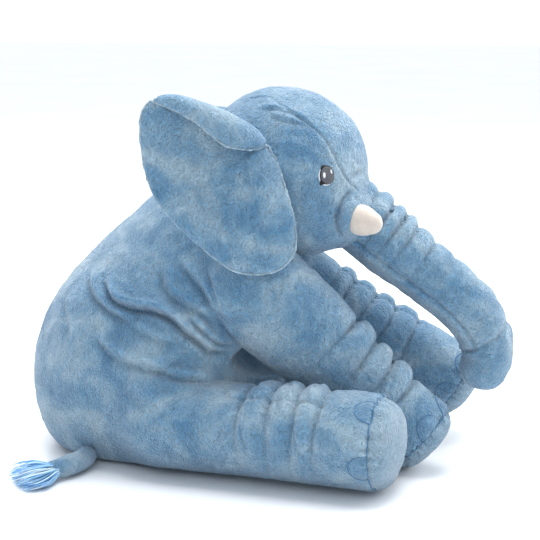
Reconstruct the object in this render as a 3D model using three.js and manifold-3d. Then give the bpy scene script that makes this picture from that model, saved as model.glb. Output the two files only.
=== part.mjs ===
// Sitting plush elephant: every sewn section is a cover with its stuffing, and
// the sections meet at soft joints. Millimetres, +X forward, +Y its left, +Z up.
import * as THREE from 'three';
import * as BufferUtils from 'three/addons/utils/BufferGeometryUtils.js';
import Module from 'manifold-3d';

const wasm = await Module();
wasm.setup();

// ---- driving sizes ---------------------------------------------------------
const CLOTH = 2.6;            // plush fabric with its pile
const GAP = 0.35;             // between a cover and the stuffing it holds
const CLEAR = 0.8;            // between two sewn sections that move
const ROOM = 1.9;             // the same, over the facets of a rounded root
const FLOOR = 0.4;            // limbs stop this far above the resting plane
const ROUND = 16;             // facets round a limb
const BODY_ROUND = 22;        // facets round the torso and the head
const SMOOTHED = 0.25;        // facets flatter than this are merged after a cut
const PLUSH_BLUE = 0x7cacd4;
const SOLE_BLUE = 0x8bb4d6;
const NAIL_BLUE = 0x5c93c6;
const FIBRE_WHITE = 0xf1f1ee;
const TUSK_WHITE = 0xf4f3f1;
const EYE_GREY = 0x3f454d;
const TASSEL_BLUE = 0x8fc4f2;
const PLUSH_ROUGH = 0.95;
const FRAME_SHIFT = 4.6;      // puts the origin under the middle of the bounding box
const SIDES = [['right', -1], ['left', 1]];

const v3 = (x, y, z) => new THREE.Vector3(x, y, z);
const mirrored = (v, side) => v3(v.x, v.y * side, v.z);
const degrees = (a) => a * Math.PI / 180;

// ---- joint pivots -----------------------------------------------------------
const HEAD_CENTRE = v3(15, 0, 352);
const TRUNK_PIVOTS = [v3(110, 0, 290), v3(184, 0, 229), v3(261, 0, 171)];
const TRUNK_END = v3(268, 0, 99);
const TAIL_PIVOT = v3(-232, -84, 16);

// ---- limbs ----------------------------------------------------------------
const ARM = {
  right: {
    pivot: v3(2, -88, 212), foot: v3(194, -80, 38.2), toes: [30, 90, 150],
    stations: [[0, 67], [60, 64], [110, 56], [190, 53], [1, 51]], width: 0.69,
  },
  left: {
    pivot: v3(22, 88, 197), foot: v3(233, 80, 66), toes: [72, 132, 192],
    stations: [[0, 50], [60, 46], [110, 46], [190, 49], [1, 49]], width: 0.94,
  },
  bulge: 20, sweep: [0, 12, 24],
};
const LEG = {
  right: { pivot: v3(-106, -121, 58.6), foot: v3(149, -177, 58.6), toes: [-12, 58, 128] },
  left: { pivot: v3(-106, 121, 58.6), foot: v3(149, 177, 58.6), toes: [-12, 58, 128] },
  stations: [[0, 58], [60, 57.6], [120, 57], [180, 57.6], [1, 57.8]],
  width: 1, bulge: 26, sweep: [0],
};
const NAIL = { width: 32, height: 23, thick: 1.4, lift: 1.2 };

// ---- torso, head, ears ------------------------------------------------------
const PEAR_FROM = v3(-192, 0, 18);
const PEAR_TO = v3(0, 0, 343);
const PEAR_WIDTH = 0.93;
const PEAR = [[-72, 0], [-60, 58], [-35, 104], [0, 132], [45, 150], [100, 157],
  [150, 152], [200, 138], [250, 122], [300, 103], [340, 76], [366, 40], [377, 0]];
const HEAD_RADII = v3(108, 98, 100);
const NECK_HOLE = { radius: 46, from: 60, to: 150 };
const NECK_WAY = v3(-0.39, 0, -0.92);
const NOD_ROOM = 1.6;         // the head is not quite round, so it needs room to nod
const EYE = { x: 79, z: 354, width: 20, height: 23, thick: 1.2, lift: 0.9 };
const TUSK = {
  root: v3(99, 66, 305), tip: v3(149, 79, 297), radius: 15.5,
  collar: 20, sleeve: 11, start: -22, chamfer: 3, facets: 16,
};
const EAR = {
  root: [v3(11, 89, 396), v3(35, 94.5, 330)],
  hub: v3(25, 0, 362), leftDroop: 17,
  hang: v3(20, 102, 396), back: 0.3, flare: 0.22, thick: 15, sweep: [-4, 0, 9, 18],
  web: { width: 16, depth: 34, outward: 5 }, middle: v3(-40, 0, 350), steps: 30,
};

// ---- geometry helpers --------------------------------------------------------
function toSolid(geometry) {
  const g = geometry.clone();
  g.deleteAttribute('normal');
  g.deleteAttribute('uv');
  const merged = BufferUtils.mergeVertices(g, 1e-4);
  const mesh = new wasm.Mesh({
    numProp: 3,
    vertProperties: new Float32Array(merged.attributes.position.array),
    triVerts: new Uint32Array(merged.index.array),
  });
  return new wasm.Manifold(mesh);
}

function toGeometry(solid) {
  const mesh = solid.getMesh();
  const g = new THREE.BufferGeometry();
  g.setAttribute('position', new THREE.BufferAttribute(new Float32Array(mesh.vertProperties), 3));
  g.setIndex(new THREE.BufferAttribute(new Uint32Array(mesh.triVerts), 1));
  g.computeVertexNormals();
  return g;
}

// Axis frame of a section: local Y runs along it, local Z across the elephant.
function alongAxis(from, to) {
  const d = to.clone().sub(from).normalize();
  const across = v3(0, 1, 0).addScaledVector(d, -d.y).normalize();
  const third = new THREE.Vector3().crossVectors(d, across);
  return new THREE.Matrix4().makeBasis(third, d, across).setPosition(from);
}

// Profile points are [along, radius]; a positive amount moves them inward.
function inset(profile, amount) {
  return profile.map(([s, r], i) => {
    const a = profile[Math.max(i - 1, 0)];
    const b = profile[Math.min(i + 1, profile.length - 1)];
    const onAxis = r < 1e-6;
    const ds = onAxis ? 0 : b[0] - a[0];
    const dr = onAxis ? (i === 0 ? 1 : -1) : b[1] - a[1];
    const length = Math.hypot(ds, dr);
    return [s + amount * dr / length, Math.max(r - amount * ds / length, 0)];
  });
}

function latheSolid(profile, from, to, width, facets = ROUND) {
  const points = profile.map(([s, r]) => new THREE.Vector2(r, s));
  const g = new THREE.LatheGeometry(points, facets);
  g.scale(1, 1, width);
  g.applyMatrix4(alongAxis(from, to));
  return toSolid(g);
}

function ellipsoid(centre, radii, grow, facets = BODY_ROUND) {
  const g = new THREE.SphereGeometry(1, facets, facets / 2);
  g.rotateX(Math.PI / 2);
  g.scale(radii.x + grow, radii.y + grow, radii.z + grow);
  g.translate(centre.x, centre.y, centre.z);
  return toSolid(g);
}

function boxSolid(size, centre) {
  const g = new THREE.BoxGeometry(size.x, size.y, size.z);
  g.translate(centre.x, centre.y, centre.z);
  return toSolid(g);
}

function above(solid, height) {
  const size = 1200;
  return solid.subtract(boxSolid(v3(size, size, size), v3(0, 0, height - size / 2)));
}

function turned(solid, pivot, axis, angle) {
  const m = new THREE.Matrix4().makeTranslation(pivot.x, pivot.y, pivot.z);
  m.multiply(new THREE.Matrix4().makeRotationAxis(axis, degrees(angle)));
  m.multiply(new THREE.Matrix4().makeTranslation(-pivot.x, -pivot.y, -pivot.z));
  return solid.transform(m.elements);
}

const without = (solid, cutters) => cutters.reduce((s, c) => s.subtract(c), solid);

// Keeps only the largest piece, so a cut never leaves a loose crumb.
function mainPiece(solid) {
  const pieces = solid.simplify(SMOOTHED).decompose();
  pieces.sort((a, b) => b.volume() - a.volume());
  return pieces[0];
}

// ---- scene helpers -----------------------------------------------------------
const elephant = new THREE.Group();
elephant.name = 'plush_elephant';

function bodyGroup(name, pivot, parent) {
  const group = new THREE.Group();
  group.name = name;
  group.userData.pivot = pivot;
  group.position.copy(pivot).sub(parent.userData.pivot);
  parent.add(group);
  return group;
}

function addNode(group, name, geometry, color, roughness) {
  const local = geometry.clone();
  const pivot = group.userData.pivot;
  local.translate(-pivot.x, -pivot.y, -pivot.z);
  const material = new THREE.MeshStandardMaterial({ color, roughness, metalness: 0 });
  const mesh = new THREE.Mesh(local, material);
  mesh.name = name;
  group.add(mesh);
}

function addCover(group, name, solid) {
  addNode(group, name, toGeometry(mainPiece(solid)), PLUSH_BLUE, PLUSH_ROUGH);
}

function addStuffing(group, name, solid) {
  addNode(group, name, toGeometry(mainPiece(solid)), FIBRE_WHITE, 1);
}

// ---- limb sections -----------------------------------------------------------
const DOME_STEPS = 4;
const ROOT_HOLE_STEP = 2;

function rootDome(radius) {
  const points = [];
  for (let i = 0; i < DOME_STEPS; i++) {
    const a = degrees(90 * i / DOME_STEPS);
    points.push([-radius * Math.cos(a), radius * Math.sin(a)]);
  }
  return points;
}

function limbShape(kind, place) {
  const length = place.foot.distanceTo(place.pivot);
  const shaft = kind.stations.map(([s, r]) => [s === 1 ? length : s, r]);
  const radius = shaft[shaft.length - 1][1];
  const tube = [...rootDome(shaft[0][1]), ...shaft];
  const sole = [];
  for (let i = 1; i <= DOME_STEPS; i++) {
    const a = degrees(90 * i / DOME_STEPS);
    sole.push([length + kind.bulge * Math.sin(a), radius * Math.cos(a)]);
  }
  sole[sole.length - 1][1] = 0;
  return { length, radius, shaft, tube, sole, whole: [...tube, ...sole] };
}

// The room a limb needs in its neighbour: its round root and its swept shaft.
function limbRoom(kind, place, axis) {
  const { length, shaft } = limbShape(kind, place);
  const root = kind.stations[0][1];
  let room = ellipsoid(place.pivot, v3(root, root * kind.width, root), ROOM);
  const whole = [[0, 0], ...shaft, [length, 0]];
  const solid = latheSolid(inset(whole, -ROOM), place.pivot, place.foot, kind.width);
  for (const angle of kind.sweep) room = room.add(turned(solid, place.pivot, axis, angle));
  return room;
}

function tubeCover(tube, kind, place) {
  const outer = tube.slice(ROOT_HOLE_STEP);
  const inner = inset(tube, CLOTH).slice(ROOT_HOLE_STEP);
  inner[inner.length - 1][0] = outer[outer.length - 1][0];
  const loop = [...outer, ...inner.reverse(), outer[0]];
  return latheSolid(loop, place.pivot, place.foot, kind.width);
}

function soleDisc(shape, kind, place) {
  const seam = shape.length + GAP;
  const outer = [[seam, shape.radius], ...shape.sole.map(([s, r]) => [s + GAP, r])];
  const inner = inset(outer, CLOTH).map(([s, r]) => [Math.max(s, seam), r]);
  const rim = shape.radius - CLOTH - GAP;
  inner[0] = [seam, rim];
  const loop = [...inner.reverse(), ...outer];
  return latheSolid(loop, place.pivot, place.foot, kind.width);
}

function nailShape() {
  const shape = new THREE.Shape();
  shape.absellipse(0, 0, NAIL.width / 2, NAIL.height, 0, Math.PI, false);
  shape.closePath();
  return shape;
}

function nailGeometry(shape, kind, place, side, angle) {
  const form = { depth: NAIL.thick, bevelEnabled: false, curveSegments: 5 };
  const g = new THREE.ExtrudeGeometry(nailShape(), form);
  const d = place.foot.clone().sub(place.pivot).normalize();
  const out = v3(0, side, 0).addScaledVector(d, -side * d.y).normalize();
  const up = new THREE.Vector3().crossVectors(d, out).multiplyScalar(side);
  const a = degrees(angle);
  const half = shape.radius * kind.width;
  const normal = out.clone().multiplyScalar(Math.cos(a) / half);
  normal.addScaledVector(up, Math.sin(a) / shape.radius).normalize();
  const back = d.clone().negate();
  const tangent = new THREE.Vector3().crossVectors(back, normal);
  const at = place.foot.clone().addScaledVector(d, -1);
  at.addScaledVector(out, half * Math.cos(a)).addScaledVector(up, shape.radius * Math.sin(a));
  at.addScaledVector(normal, NAIL.lift);
  g.applyMatrix4(new THREE.Matrix4().makeBasis(tangent, back, normal).setPosition(at));
  return g;
}

function addLimb(kind, label, sideName, side, parent, cutters) {
  const place = kind[sideName];
  const group = bodyGroup(`${label}_${sideName}`, place.pivot, parent);
  const shape = limbShape(kind, place);
  const cover = tubeCover(shape.tube, kind, place);
  const fill = latheSolid(inset(shape.whole, CLOTH + GAP), place.pivot, place.foot, kind.width);
  addCover(group, `${label}_${sideName}_cover`, above(without(cover, cutters), FLOOR));
  addStuffing(group, `${label}_${sideName}_stuffing`, above(without(fill, cutters), CLOTH + GAP));
  const sole = toGeometry(above(without(soleDisc(shape, kind, place), cutters), FLOOR));
  addNode(group, `${label}_${sideName}_sole`, sole, SOLE_BLUE, PLUSH_ROUGH);
  place.toes.forEach((angle, i) => {
    const nail = nailGeometry(shape, kind, place, side, angle);
    addNode(group, `${label}_${sideName}_nail_${i + 1}`, nail, NAIL_BLUE, 0.9);
  });
}

// ---- trunk --------------------------------------------------------------------
const TRUNK = [
  { name: 'base', from: TRUNK_PIVOTS[0], to: TRUNK_PIVOTS[1], radii: [45, 42, 38.5], end: 14 },
  { name: 'middle', from: TRUNK_PIVOTS[1], to: TRUNK_PIVOTS[2], radii: [37.5, 36.5, 35.5], end: 20 },
  { name: 'tip', from: TRUNK_PIVOTS[2], to: TRUNK_END, radii: [34.5, 31, 27], end: 0 },
];
const TRUNK_TIP_DOME = 17;
const TIP_STEPS = 4;

// The last section ends in a dome; the others stop short of the next pivot.
function trunkProfile(part) {
  const length = part.to.distanceTo(part.from) - part.end;
  const [r0, r1, r2] = part.radii;
  const shaft = [[0, r0], [length / 2, r1], [length, r2]];
  if (part.end) return [...rootDome(r0), ...shaft, [length, 0]];
  const dome = [];
  for (let i = 1; i <= TIP_STEPS; i++) {
    const a = degrees(90 * i / TIP_STEPS);
    dome.push([length + TRUNK_TIP_DOME * Math.sin(a), i === TIP_STEPS ? 0 : r2 * Math.cos(a)]);
  }
  return [...rootDome(r0), ...shaft, ...dome];
}

const trunkSolid = (part, grow) => latheSolid(inset(trunkProfile(part), -grow), part.from, part.to, 1);

function trunkShell(part) {
  const outer = trunkProfile(part).slice(ROOT_HOLE_STEP);
  const inner = inset(trunkProfile(part), CLOTH).slice(ROOT_HOLE_STEP);
  if (part.end) {
    outer.pop();
    inner.pop();
    inner[inner.length - 1][0] = outer[outer.length - 1][0];
  }
  const loop = [...outer, ...inner.reverse(), outer[0]];
  return latheSolid(loop, part.from, part.to, 1);
}

function trunkRoom(part) {
  const r = part.radii[0];
  return ellipsoid(part.from, v3(r, r, r), ROOM);
}

function addTrunk(head) {
  let parent = head;
  TRUNK.forEach((part, i) => {
    const group = bodyGroup(`trunk_${part.name}`, part.from, parent);
    const cut = part.end ? [trunkRoom(TRUNK[i + 1])] : [];
    addCover(group, `trunk_${part.name}_cover`, without(trunkShell(part), cut));
    addStuffing(group, `trunk_${part.name}_stuffing`, without(trunkSolid(part, -CLOTH - GAP), cut));
    parent = group;
  });
}

// ---- ear ------------------------------------------------------------------------
// Outline as [x, z] in side view, from the root's top round the back to its foot.
const EAR_OUTLINE = [[14, 398], [-22, 436], [-70, 452], [-112, 451], [-130, 428],
  [-128, 385], [-114, 345], [-92, 312], [-62, 280], [-28, 256], [8, 248], [36, 256],
  [47, 284], [41, 330]];

function earPlate(side, edge, thick) {
  const shape = new THREE.Shape();
  const hub = new THREE.Vector2(EAR.hub.x, EAR.hub.z);
  const droop = side > 0 ? degrees(EAR.leftDroop) : 0;
  const points = EAR_OUTLINE.map(([x, z]) => new THREE.Vector2(x, z).rotateAround(hub, droop));
  const curve = new THREE.SplineCurve([...points, points[0]]).getPoints(EAR.steps);
  const centre = new THREE.Vector2(EAR.middle.x, EAR.middle.z).rotateAround(hub, droop);
  const shrunk = curve.map((p) => {
    const away = p.clone().sub(centre);
    return p.clone().addScaledVector(away.normalize(), -edge);
  });
  shrunk.pop();
  shape.setFromPoints(shrunk);
  const g = new THREE.ExtrudeGeometry(shape, { depth: thick, bevelEnabled: false });
  g.translate(0, 0, -thick / 2);
  // the plate leans out towards the back and towards its lower edge
  const position = g.attributes.position;
  for (let i = 0; i < position.count; i++) {
    const x = position.getX(i);
    const z = position.getY(i);
    const off = position.getZ(i);
    const lean = EAR.back * (EAR.hang.x - x) + EAR.flare * (EAR.hang.z - z);
    position.setXYZ(i, x, side * (EAR.hang.y + EAR.thick / 2 + lean + off), z);
  }
  const solid = toSolid(side > 0 ? flipped(g) : g);
  return solid;
}

function flipped(geometry) {
  const g = BufferUtils.mergeVertices(stripped(geometry), 1e-4);
  const index = g.index.array;
  for (let i = 0; i < index.length; i += 3) {
    const keep = index[i];
    index[i] = index[i + 1];
    index[i + 1] = keep;
  }
  return g;
}

function stripped(geometry) {
  const g = geometry.clone();
  g.deleteAttribute('normal');
  g.deleteAttribute('uv');
  return g;
}

function earRoot(side, shrink) {
  const [top, foot] = EAR.root.map((p) => mirrored(p, side));
  const middle = top.clone().add(foot).multiplyScalar(0.5);
  const size = v3(EAR.web.width, EAR.web.depth, top.distanceTo(foot)).addScalar(-2 * shrink);
  const g = new THREE.BoxGeometry(size.x, size.y, size.z);
  g.rotateY(Math.atan2(top.x - foot.x, top.z - foot.z));
  g.translate(middle.x, middle.y + side * EAR.web.outward, middle.z);
  return toSolid(g);
}

function addEar(sideName, side, head) {
  const [top, foot] = EAR.root.map((p) => mirrored(p, side));
  const pivot = top.clone().add(foot).multiplyScalar(0.5);
  const axis = foot.clone().sub(top).normalize().multiplyScalar(side);
  const group = bodyGroup(`ear_${sideName}`, pivot, head);
  const skull = ellipsoid(HEAD_CENTRE, HEAD_RADII, CLEAR);
  const cutters = EAR.sweep.map((angle) => turned(skull, pivot, axis, -angle));
  const whole = without(earPlate(side, 0, EAR.thick).add(earRoot(side, 0)), cutters);
  const room = earPlate(side, CLOTH, EAR.thick - 2 * CLOTH).add(earRoot(side, CLOTH));
  const hollow = CLOTH + GAP;
  const pad = earPlate(side, hollow, EAR.thick - 2 * hollow).add(earRoot(side, hollow));
  addCover(group, `ear_${sideName}_cover`, whole.subtract(room));
  addStuffing(group, `ear_${sideName}_padding`, without(pad, cutters));
}

// ---- tusks and eyes --------------------------------------------------------------
function addTusk(sideName, side, head, cutters) {
  const root = mirrored(TUSK.root, side);
  const tip = mirrored(TUSK.tip, side);
  const length = root.distanceTo(tip);
  const { radius: r, collar: wide, start, sleeve, chamfer, facets } = TUSK;
  const profile = [[start, 0], [start, r], [length * 0.35, r], [length * 0.7, r * 0.93],
    [length * 0.9, r * 0.68], [length, 0]];
  const cuff = [[start, r + GAP], [start, wide], [sleeve - chamfer, wide],
    [sleeve, wide - chamfer + 1], [sleeve, r + GAP], [start, r + GAP]];
  const tusk = without(latheSolid(profile, root, tip, 1, facets), cutters);
  const collar = without(latheSolid(cuff, root, tip, 1, facets), cutters);
  addNode(head, `tusk_${sideName}`, toGeometry(mainPiece(tusk)), TUSK_WHITE, 0.9);
  addNode(head, `tusk_collar_${sideName}`, toGeometry(mainPiece(collar)), PLUSH_BLUE, PLUSH_ROUGH);
}

function addEye(sideName, side, head) {
  const shape = new THREE.Shape();
  shape.absellipse(0, 0, EYE.width / 2, EYE.height / 2, 0, 2 * Math.PI, false);
  const form = { depth: EYE.thick, bevelEnabled: false, curveSegments: 9 };
  const g = new THREE.ExtrudeGeometry(shape, form);
  const dx = (EYE.x - HEAD_CENTRE.x) / HEAD_RADII.x;
  const dz = (EYE.z - HEAD_CENTRE.z) / HEAD_RADII.z;
  const y = side * HEAD_RADII.y * Math.sqrt(1 - dx * dx - dz * dz);
  const normal = v3(dx / HEAD_RADII.x, y / HEAD_RADII.y ** 2, dz / HEAD_RADII.z).normalize();
  const up = v3(0, 0, 1).addScaledVector(normal, -normal.z).normalize();
  const right = new THREE.Vector3().crossVectors(up, normal);
  const at = v3(EYE.x, y, EYE.z).addScaledVector(normal, EYE.lift);
  g.applyMatrix4(new THREE.Matrix4().makeBasis(right, up, normal).setPosition(at));
  addNode(head, `eye_${sideName}`, g, EYE_GREY, 0.6);
}

// ---- tail ---------------------------------------------------------------------------
const TAIL_PATH = [TAIL_PIVOT, v3(-214, -112, 14.5), v3(-207, -138, 13.5), v3(-216, -166, 13),
  v3(-232, -186, 12.8)];
const TAIL_RADIUS = 12;
const TAIL_AXIS = v3(0, 0, -1);
const TAIL_SWEEP = [0, 10, 20];
const TASSEL = { tip: v3(-270, -219, 10.5), radii: [8, 12.5, 15.5, 12], start: 4 };

function tubeAlong(points, radius, hole = 0) {
  const curve = new THREE.CatmullRomCurve3(points);
  const ring = new THREE.Shape();
  ring.absellipse(0, 0, radius, radius, 0, 2 * Math.PI, false);
  if (hole) {
    const bore = new THREE.Path();
    bore.absellipse(0, 0, hole, hole, 0, 2 * Math.PI, false);
    ring.holes.push(bore);
  }
  const g = new THREE.ExtrudeGeometry(ring, { steps: 10, curveSegments: 7, extrudePath: curve });
  return toSolid(g);
}

// The tail leaves the rump in a groove that its root turns in.
function tailRoom() {
  const tube = tubeAlong(TAIL_PATH, TAIL_RADIUS + ROOM);
  const r = TAIL_RADIUS + ROOM;
  let room = ellipsoid(TAIL_PIVOT, v3(r, r, r), 0, ROUND);
  for (const angle of TAIL_SWEEP) room = room.add(turned(tube, TAIL_PIVOT, TAIL_AXIS, angle));
  return room;
}

function addTail(parent) {
  const group = bodyGroup('tail', TAIL_PIVOT, parent);
  addCover(group, 'tail_cover', tubeAlong(TAIL_PATH, TAIL_RADIUS, TAIL_RADIUS - CLOTH));
  const fillRadius = TAIL_RADIUS - CLOTH - 2 * GAP;
  addStuffing(group, 'tail_stuffing', tubeAlong(TAIL_PATH, fillRadius));
  const end = TAIL_PATH[TAIL_PATH.length - 1];
  const d = TASSEL.tip.clone().sub(end).normalize();
  const from = end.clone().addScaledVector(d, TASSEL.start);
  const length = TASSEL.tip.distanceTo(from);
  const rings = TASSEL.radii.map((r, i) => [length * i / (TASSEL.radii.length - 1), r]);
  const tassel = latheSolid([[0, 0], ...rings, [length, 0]], from, TASSEL.tip, 1, 14);
  addNode(group, 'tail_tassel', toGeometry(above(tassel, FLOOR)), TASSEL_BLUE, 0.4);
}

// ---- assembly ------------------------------------------------------------------------
const ARM_AXIS = v3(0, -1, 0);
const arm = (name) => ({ ...ARM, ...ARM[name] });
const legAxis = (side) => v3(0, 0, side);
const skull = (grow) => ellipsoid(HEAD_CENTRE, HEAD_RADII, grow);
const pear = (grow) => latheSolid(inset(PEAR, -grow), PEAR_FROM, PEAR_TO, PEAR_WIDTH, BODY_ROUND);

function torsoCutters() {
  const cutters = [skull(CLEAR + NOD_ROOM), tailRoom()];
  for (const [name, side] of SIDES) {
    cutters.push(limbRoom(arm(name), ARM[name], ARM_AXIS));
    cutters.push(limbRoom(LEG, LEG[name], legAxis(side)));
  }
  return cutters;
}

function addTorso() {
  const group = bodyGroup('torso', v3(0, 0, 0), elephant);
  const cutters = torsoCutters();
  const shell = above(pear(0), 0).subtract(above(pear(-CLOTH), CLOTH));
  const fill = above(pear(-CLOTH - GAP), CLOTH + GAP);
  addCover(group, 'torso_cover', without(shell, cutters));
  addStuffing(group, 'torso_stuffing', without(fill, cutters));
  return group;
}

function neckOpening() {
  const { radius, from, to } = NECK_HOLE;
  const profile = [[0, 0], [0, radius], [to - from, radius], [to - from, 0]];
  const start = HEAD_CENTRE.clone().addScaledVector(NECK_WAY, from);
  return latheSolid(profile, start, HEAD_CENTRE.clone().addScaledVector(NECK_WAY, to), 1);
}

function addHead(torso) {
  const group = bodyGroup('head', HEAD_CENTRE, torso);
  const neckHole = neckOpening();
  const room = trunkRoom(TRUNK[0]);
  addCover(group, 'head_cover', without(skull(0).subtract(skull(-CLOTH)), [neckHole, room]));
  addStuffing(group, 'head_stuffing', skull(-CLOTH - GAP).subtract(room));
  for (const [name, side] of SIDES) {
    addEye(name, side, group);
    addTusk(name, side, group, [skull(GAP), room]);
    addEar(name, side, group);
  }
  return group;
}

elephant.userData.pivot = v3(0, 0, 0);
const torso = addTorso();
for (const [name, side] of SIDES) {
  const armRoom = limbRoom({ ...arm(name), sweep: [0] }, ARM[name], ARM_AXIS);
  addLimb(arm(name), 'front_leg', name, side, torso, []);
  addLimb(LEG, 'rear_leg', name, side, torso, [armRoom]);
}
addTail(torso);
addTrunk(addHead(torso));
elephant.position.x = FRAME_SHIFT;

export default elephant;
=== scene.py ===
"""Sitting plush elephant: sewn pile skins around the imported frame.

Shapes are written as distance fields in millimetres, in the part's own layout,
and turned into metres in the row frame when each mesh is made."""
import math

import bmesh
import bpy
import numpy as np
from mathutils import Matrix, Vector
from mathutils.bvhtree import BVHTree


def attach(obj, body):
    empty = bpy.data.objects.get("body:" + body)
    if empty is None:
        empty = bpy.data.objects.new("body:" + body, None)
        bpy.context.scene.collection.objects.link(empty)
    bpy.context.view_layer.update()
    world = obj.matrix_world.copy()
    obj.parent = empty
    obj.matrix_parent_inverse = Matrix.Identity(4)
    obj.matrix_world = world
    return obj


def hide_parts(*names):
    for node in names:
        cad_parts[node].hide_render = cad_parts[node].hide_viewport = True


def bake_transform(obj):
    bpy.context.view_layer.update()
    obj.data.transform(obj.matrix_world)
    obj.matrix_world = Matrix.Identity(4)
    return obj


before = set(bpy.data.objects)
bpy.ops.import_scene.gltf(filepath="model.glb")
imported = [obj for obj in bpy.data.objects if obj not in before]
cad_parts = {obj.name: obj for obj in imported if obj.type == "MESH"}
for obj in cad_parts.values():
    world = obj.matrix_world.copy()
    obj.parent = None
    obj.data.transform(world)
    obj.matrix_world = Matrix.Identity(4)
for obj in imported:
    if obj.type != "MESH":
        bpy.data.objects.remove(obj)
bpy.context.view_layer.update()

MM = 0.001
SHIFT = np.array([4.6, 0.0, 0.0])        # the row frame starts under the middle of the box
FLOOR = 0.5                              # pile stays this far above the resting plane
FAR = 1e3
SIDES = (("right", -1), ("left", 1))


def vec(*v):
    return np.array(v, float)


def unit(v):
    return np.asarray(v, float) / np.linalg.norm(v)


def mirrored(p, side):
    """A point, flipped to the other side of the middle plane where side is -1."""
    return vec(p[0], side * p[1], p[2])


def place(p):
    """A point of the layout, in metres in the row frame."""
    return tuple((np.asarray(p, float) + SHIFT) * MM)


# distance fields: each takes p as three arrays and gives millimetres, less than 0 inside
def offset(p, a):
    return [p[i] - a[i] for i in range(3)]


def dot(a, b):
    return sum(a[i] * b[i] for i in range(3))


def join(a, b, k):
    """Smooth union of two fields."""
    h = np.clip(0.5 + 0.5 * (b - a) / k, 0, 1)
    return b + (a - b) * h - k * h * (1 - h)


def meet(a, b, k):
    """Smooth intersection of two fields."""
    return -join(-a, -b, k)


def ease(x, a, b):
    """Rises smoothly from 0 at a to 1 at b."""
    t = np.clip((x - a) / (b - a), 0, 1)
    return t * t * (3 - 2 * t)


def ball(p, centre, radii):
    q = offset(p, centre)
    k0 = np.sqrt(sum((q[i] / radii[i]) ** 2 for i in range(3)))
    k1 = np.sqrt(sum((q[i] / radii[i] ** 2) ** 2 for i in range(3))) + 1e-9
    return k0 * (k0 - 1) / k1


def capsule(p, a, b, ra, rb):
    """A round-ended cone between two points."""
    a, b = vec(*a), vec(*b)
    d = b - a
    q = offset(p, a)
    t = np.clip(dot(q, d) / (d @ d), 0, 1)
    return np.sqrt(sum((q[i] - t * d[i]) ** 2 for i in range(3))) - ra - (rb - ra) * t


def smooth_profile(points, count=120):
    """Stations through given points, rounded by a few passes of averaging."""
    s, r = np.array(points, float).T
    fine = np.linspace(s[0], s[-1], count)
    value = np.interp(fine, s, r)
    for _ in range(14):
        value[1:-1] = (value[:-2] + 2 * value[1:-1] + value[2:]) / 4
    return fine, value


class Noise:
    """Smooth value noise on a seeded lattice."""

    def __init__(self, seed, size=32):
        self.size = size
        self.table = np.random.RandomState(seed).uniform(-1, 1, (size, size, size))

    def __call__(self, points, scale):
        q = np.asarray(points) / scale + 1000.0
        base = np.floor(q).astype(int)
        t = q - base
        t = t * t * t * (t * (6 * t - 15) + 10)
        total = 0
        for corner in np.ndindex(2, 2, 2):
            weight = 1
            for i in range(3):
                weight = weight * (t[:, i] if corner[i] else 1 - t[:, i])
            i, j, k = ((base[:, n] + corner[n]) % self.size for n in range(3))
            total = total + weight * self.table[i, j, k]
        return total


lumps = Noise(7)
ruffle = Noise(21)


# from field to mesh
CORNERS = [vec(*c).astype(int) for c in np.ndindex(2, 2, 2)]
EDGES = [(a, b) for a in CORNERS for b in CORNERS if (b - a).sum() == 1 and (b - a).min() >= 0]


def surface_net(field, low, step):
    """Points and outward quads of the zero surface of a sampled field."""
    inside = field < 0
    nx, ny, nz = field.shape
    count = sum(inside[a:nx - 1 + a, b:ny - 1 + b, c:nz - 1 + c].astype(np.int8)
                for a, b, c in CORNERS)
    active = (count > 0) & (count < 8)
    cell = np.argwhere(active)
    index = np.full(active.shape, -1)
    index[active] = np.arange(len(cell))
    total = np.zeros((len(cell), 3))
    hits = np.zeros(len(cell))
    for a, b in EDGES:
        fa = field[tuple((cell + a).T)]
        fb = field[tuple((cell + b).T)]
        cross = (fa < 0) != (fb < 0)
        t = np.where(cross, fa / np.where(fa == fb, 1, fa - fb), 0)
        total += np.where(cross[:, None], a + t[:, None] * (b - a), 0)
        hits += cross
    points = low + step * (cell + total / hits[:, None])
    quads = []
    for axis in range(3):
        b, c = (axis + 1) % 3, (axis + 2) % 3
        lower = np.moveaxis(inside, axis, 0)[:-1]
        upper = np.moveaxis(inside, axis, 0)[1:]
        spot = np.argwhere(np.moveaxis(lower != upper, 0, axis))
        ok = (spot[:, b] > 0) & (spot[:, c] > 0)
        spot = spot[ok & (spot[:, b] < inside.shape[b] - 1) & (spot[:, c] < inside.shape[c] - 1)]
        ub, uc = np.eye(3, dtype=int)[[b, c]]
        ring = [spot, spot - ub, spot - ub - uc, spot - uc]
        quad = np.stack([index[tuple(q.T)] for q in ring], 1)
        facing = inside[tuple(spot.T)]
        quad[~facing] = quad[~facing][:, ::-1]
        quads.append(quad)
    return points, np.concatenate(quads)


def new_object(name, points, faces, smooth=True):
    mesh = bpy.data.meshes.new(name)
    metres = (np.asarray(points, float) + SHIFT) * MM
    mesh.from_pydata(metres.tolist(), [], [list(map(int, f)) for f in faces])
    mesh.validate()
    obj = bpy.data.objects.new(name, mesh)
    bpy.context.scene.collection.objects.link(obj)
    if smooth:
        mesh.polygons.foreach_set("use_smooth", np.ones(len(mesh.polygons), bool))
    return obj


def subdivided(obj, levels=1):
    mod = obj.modifiers.new("sub", "SUBSURF")
    mod.levels = mod.render_levels = levels
    bake_modifiers(obj)
    return obj


def bake_modifiers(obj):
    graph = bpy.context.evaluated_depsgraph_get()
    mesh = bpy.data.meshes.new_from_object(obj.evaluated_get(graph))
    old, obj.data = obj.data, mesh
    obj.modifiers.clear()
    bpy.data.meshes.remove(old)


def points_of(obj):
    co = np.empty(len(obj.data.vertices) * 3)
    obj.data.vertices.foreach_get("co", co)
    return co.reshape(-1, 3) / MM - SHIFT


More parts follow.
